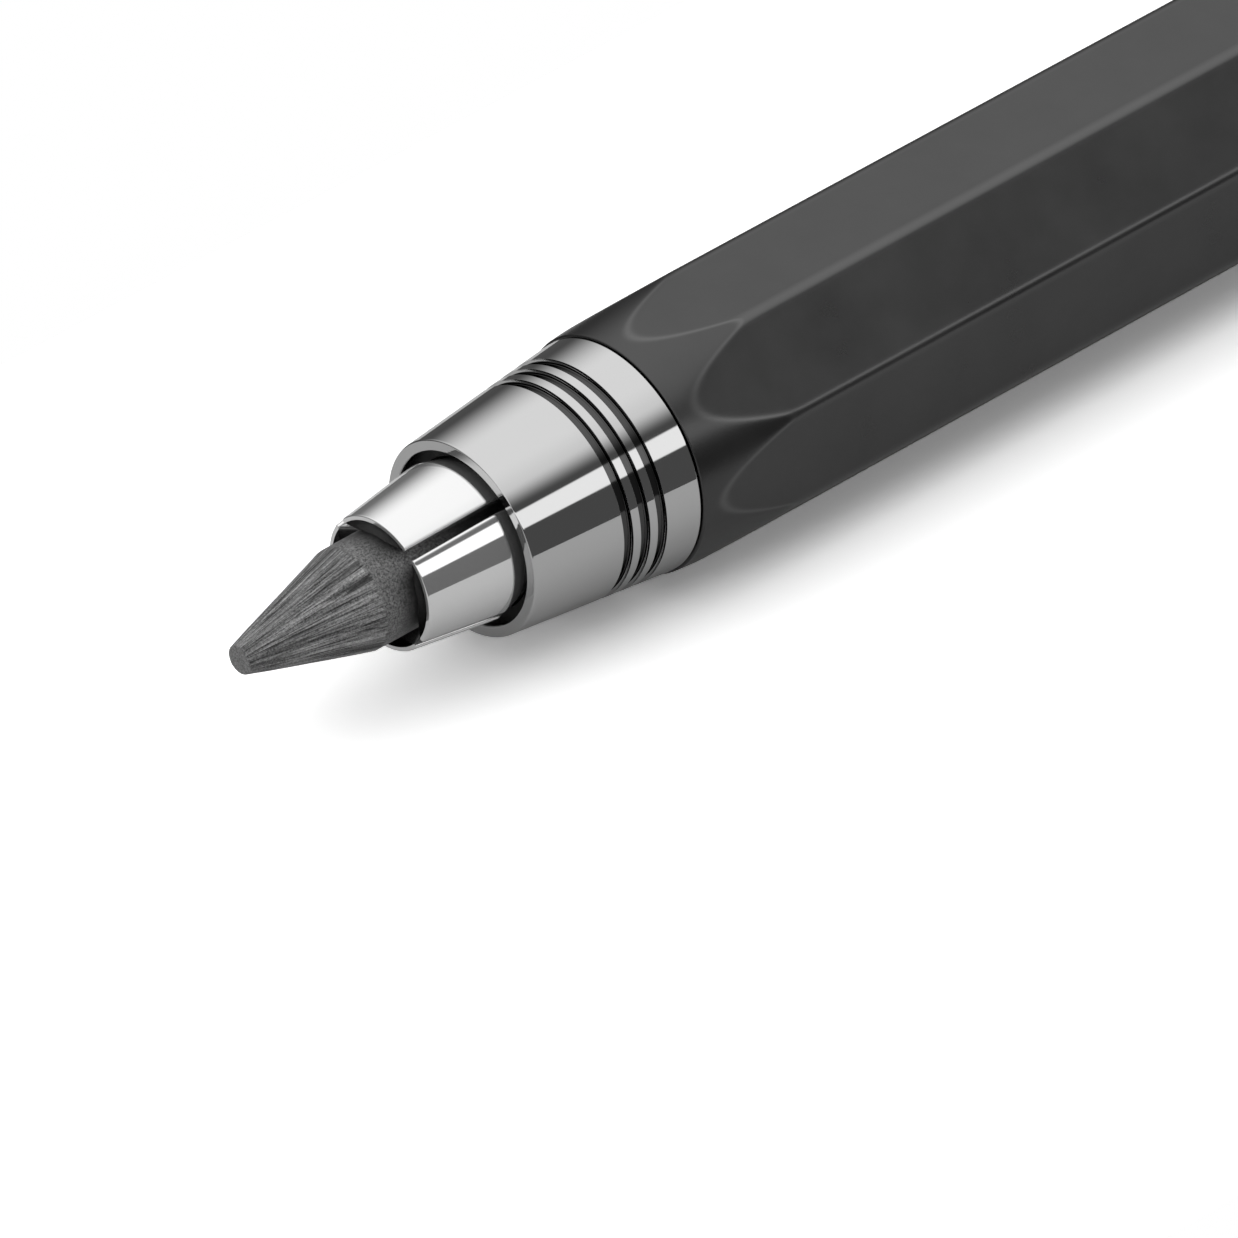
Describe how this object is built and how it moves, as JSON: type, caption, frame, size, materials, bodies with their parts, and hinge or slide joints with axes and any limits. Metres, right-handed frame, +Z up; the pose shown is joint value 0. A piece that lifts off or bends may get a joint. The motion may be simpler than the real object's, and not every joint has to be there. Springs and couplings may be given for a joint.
{
  "type": "lead holder",
  "caption": "Short octagonal lead holder for thick sketching leads: conical nose sleeve, sprung clutch jaws gripping a sharpened graphite lead, push button at the rear.",
  "frame": {"origin": "under the middle of the object's bounding box, on the surface it lies on", "axes": "+X along the pen from the lead's point to the push button, +Z up out of the barrel flat opposite the one it lies on"},
  "size_m": [0.1136, 0.0132, 0.0132],
  "materials": {
    "satin_black": "satin black coating on turned and flat-milled metal",
    "chrome": "mirror polished",
    "black_lacquer": "gloss",
    "jaw_metal": "nickel plated, slightly satin",
    "graphite": "graphite, sharpened, with fine grooves along the cone",
    "brass": "turned",
    "black_steel": "hardened and blackened",
    "spring_steel": "drawn wire"
  },
  "bodies": {
    "barrel": {"barrel": "satin_black", "nose_sleeve": "chrome", "groove_ring_front": "black_lacquer", "groove_ring_middle": "black_lacquer", "groove_ring_rear": "black_lacquer", "clutch_seat_ring": "black_steel", "spring_seat": "brass", "clutch_spring": "spring_steel", "rear_collar": "chrome"},
    "plunger": {"collet_body": "jaw_metal", "lead_tube": "brass", "spring_collar": "brass", "tube_circlip": "spring_steel", "push_button": "chrome", "button_disc": "chrome"},
    "jaw_1": {"collet_jaw_1": "jaw_metal"},
    "jaw_2": {"collet_jaw_2": "jaw_metal"},
    "jaw_3": {"collet_jaw_3": "jaw_metal"},
    "jaw_4": {"collet_jaw_4": "jaw_metal"},
    "lead": {"lead": "graphite"}
  },
  "joints": [
    {"name": "push_slide", "type": "slide", "parent": "barrel", "child": "plunger", "axis": [-1, 0, 0], "range_m": [0, 0.005], "stiffness_N_per_m": 600, "springref_m": -0.004, "deforming": ["clutch_spring"]},
    {"name": "jaw_1_open", "type": "hinge", "parent": "plunger", "child": "jaw_1", "pos_m": [-0.027, 0.00039, 0.00978], "axis": [0, 0.9925, -0.1219], "range_deg": [0, 1.9]},
    {"name": "jaw_2_open", "type": "hinge", "parent": "plunger", "child": "jaw_2", "pos_m": [-0.027, -0.00318, 0.00699], "axis": [0, 0.1219, 0.9925], "range_deg": [0, 1.9]},
    {"name": "jaw_3_open", "type": "hinge", "parent": "plunger", "child": "jaw_3", "pos_m": [-0.027, -0.00039, 0.00342], "axis": [0, -0.9925, 0.1219], "range_deg": [0, 1.9]},
    {"name": "jaw_4_open", "type": "hinge", "parent": "plunger", "child": "jaw_4", "pos_m": [-0.027, 0.00318, 0.00621], "axis": [0, -0.1219, -0.9925], "range_deg": [0, 1.9]},
    {"name": "lead_feed", "type": "slide", "parent": "plunger", "child": "lead", "axis": [-1, 0, 0], "range_m": [-0.009, 0.02]}
  ],
  "couplings": [
    {"joint": "jaw_1_open", "follows": "push_slide", "rad_per_m": 6.28},
    {"joint": "jaw_2_open", "follows": "push_slide", "rad_per_m": 6.28},
    {"joint": "jaw_3_open", "follows": "push_slide", "rad_per_m": 6.28},
    {"joint": "jaw_4_open", "follows": "push_slide", "rad_per_m": 6.28}
  ]
}
